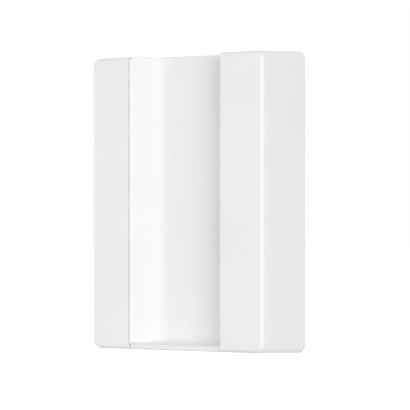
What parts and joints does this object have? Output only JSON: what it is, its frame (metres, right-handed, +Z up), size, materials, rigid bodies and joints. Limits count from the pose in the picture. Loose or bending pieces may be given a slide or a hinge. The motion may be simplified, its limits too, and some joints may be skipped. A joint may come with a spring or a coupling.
{
  "type": "door contact sensor",
  "caption": "Two-piece white door contact sensor: a scooped battery-powered sensor unit on a slide-off wall bracket, beside a narrow magnet unit that moves with the door.",
  "frame": {"origin": "the centre of the wall bracket's back face (mount wall_face), on the wall plane and halfway up the fronts", "axes": "+Z up, -Y out of the wall towards the room (the fronts face -Y), +X from the magnet unit to the sensor unit"},
  "size_m": [0.0524, 0.0254, 0.0817],
  "materials": {
    "cover_plastic": "satin moulded ABS",
    "base_plastic": "fine textured moulding",
    "adhesive": "foam tape",
    "board": "green solder mask",
    "chip": "moulded epoxy",
    "shield": "tinned sheet",
    "ceramic": "fired ceramic",
    "copper": "bare copper wire",
    "reed_glass": "clear",
    "reed_metal": "tinned wire",
    "led": "clear epoxy over phosphor",
    "light_pipe": "polished acrylic",
    "switch_black": "glass-filled nylon",
    "plunger": "acetal",
    "spring_steel": "nickel plated",
    "cell_can": "nickel plated can",
    "cell_sleeve": "shrink sleeve",
    "lead": "insulated wire",
    "magnet": "nickel plated",
    "screw": "zinc plated"
  },
  "bodies": {
    "mounting": {"wall_bracket": "base_plastic", "bracket_adhesive": "adhesive"},
    "sensor": {"chassis": "base_plastic", "circuit_board": "board", "board_screws": "screw", "radio_module": "board", "radio_shield": "shield", "microcontroller": "chip", "crystal": "shield", "capacitors": "ceramic", "antenna": "copper", "reed_glass": "reed_glass", "reed_blades": "reed_metal", "status_led": "led", "light_pipe": "light_pipe", "tamper_switch": "switch_black", "tamper_spring": "spring_steel", "pairing_switch": "switch_black", "battery_cell": "cell_can", "battery_sleeve": "cell_sleeve", "battery_contact_positive": "spring_steel", "battery_contact_negative": "spring_steel", "battery_spring": "spring_steel", "battery_leads": "lead"},
    "cover": {"sensor_cover": "cover_plastic"},
    "plunger": {"tamper_plunger": "plunger"},
    "button": {"pairing_button": "plunger"},
    "magnet": {"magnet_base": "base_plastic", "bar_magnet": "magnet", "magnet_clip": "spring_steel", "magnet_adhesive": "adhesive"},
    "magnet_cap": {"magnet_cover": "cover_plastic"}
  },
  "joints": [
    {"name": "sensor_release", "type": "slide", "parent": "mounting", "child": "sensor", "axis": [0, 0, 1], "range_m": [0, 0.005]},
    {"name": "cover_release", "type": "slide", "parent": "sensor", "child": "cover", "axis": [0, -1, 0], "range_m": [0, 0.03]},
    {"name": "plunger_slide", "type": "slide", "parent": "sensor", "child": "plunger", "axis": [0, 1, 0], "range_m": [0, 0.0012], "deforming": ["tamper_spring"]},
    {"name": "button_press", "type": "slide", "parent": "sensor", "child": "button", "axis": [0, 1, 0], "range_m": [0, 0.0003], "stiffness_N_per_m": 600},
    {"name": "opening", "type": "slide", "parent": "mounting", "child": "magnet", "axis": [-1, 0, 0], "range_m": [0, 0.05]},
    {"name": "magnet_cap_release", "type": "slide", "parent": "magnet", "child": "magnet_cap", "axis": [0, -1, 0], "range_m": [0, 0.03]}
  ],
  "couplings": [
    {"joint": "plunger_slide", "follows": "sensor_release", "ratio": 0.24}
  ]
}
